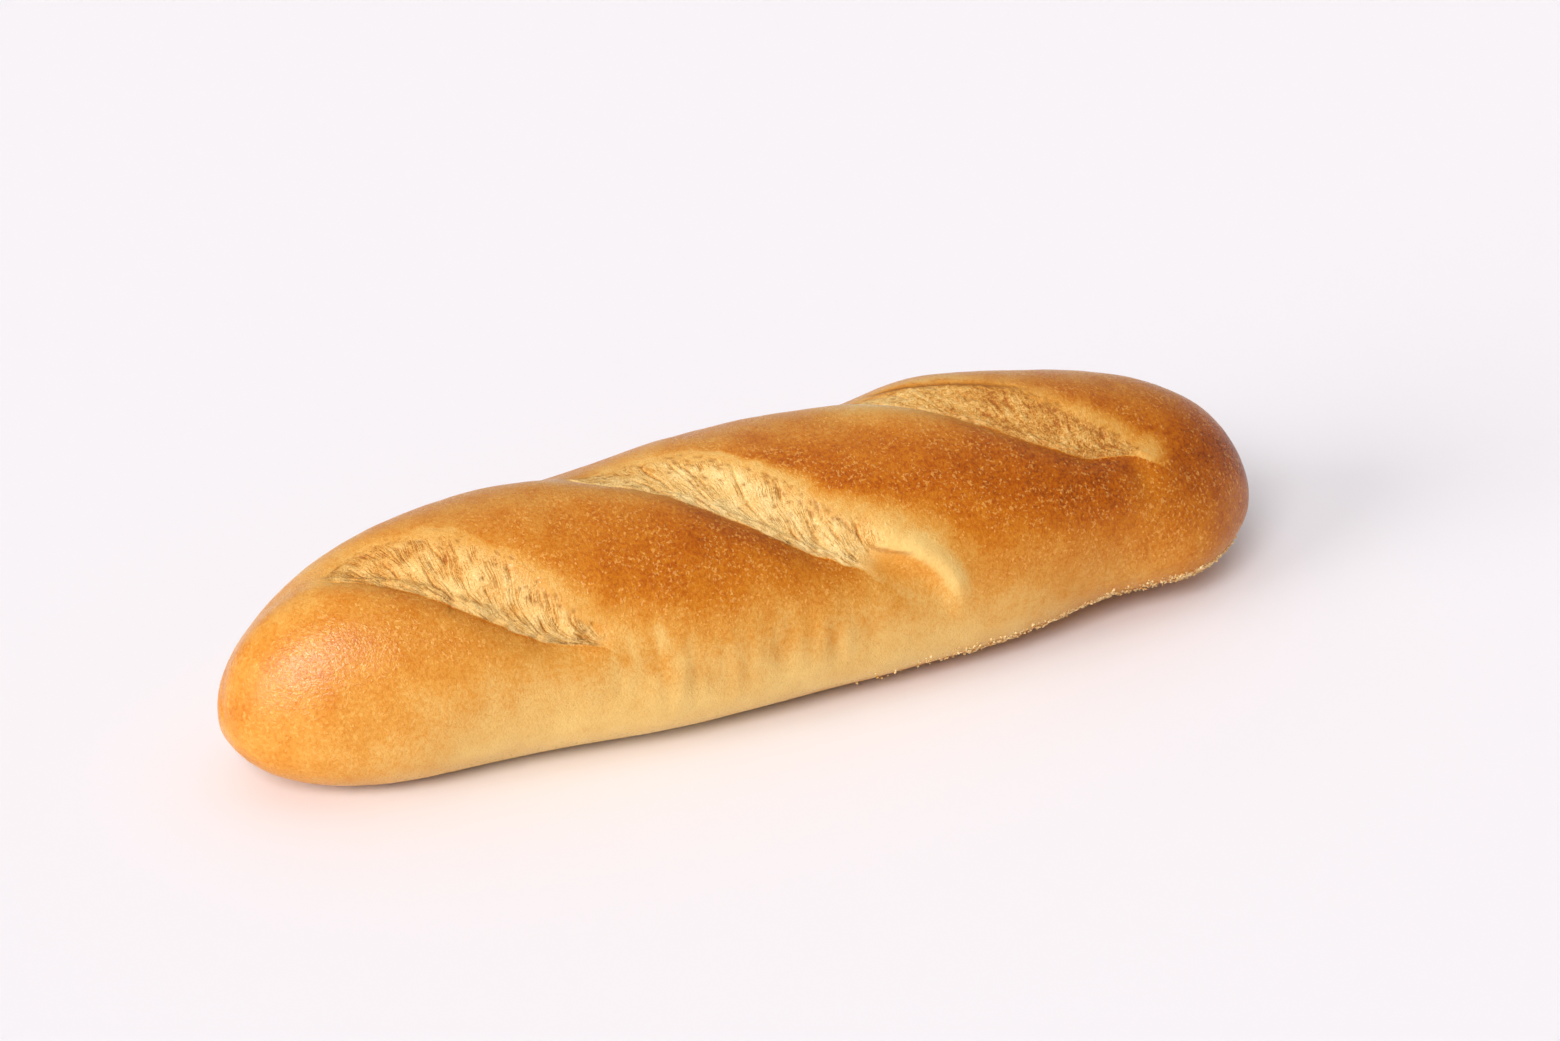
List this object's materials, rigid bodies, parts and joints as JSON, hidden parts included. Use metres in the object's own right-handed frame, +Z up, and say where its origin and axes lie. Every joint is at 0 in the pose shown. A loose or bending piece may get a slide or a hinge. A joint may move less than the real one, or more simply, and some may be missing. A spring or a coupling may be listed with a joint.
{
  "type": "hoagie roll",
  "caption": "Long baked sandwich roll with a rounded golden-brown crust, opened diagonal scores along the top and a flat base.",
  "frame": {"origin": "middle of the base, on the surface that the roll rests on", "axes": "+X along the roll, +Z up out of its crown, and -Y the side that the scores run down to"},
  "size_m": [0.2031, 0.0568, 0.0434],
  "materials": {
    "crust": "satin browned bread crust, pale along the lower sides and in the opened scores"
  },
  "bodies": {
    "root": {"roll": "crust"}
  },
  "joints": []
}
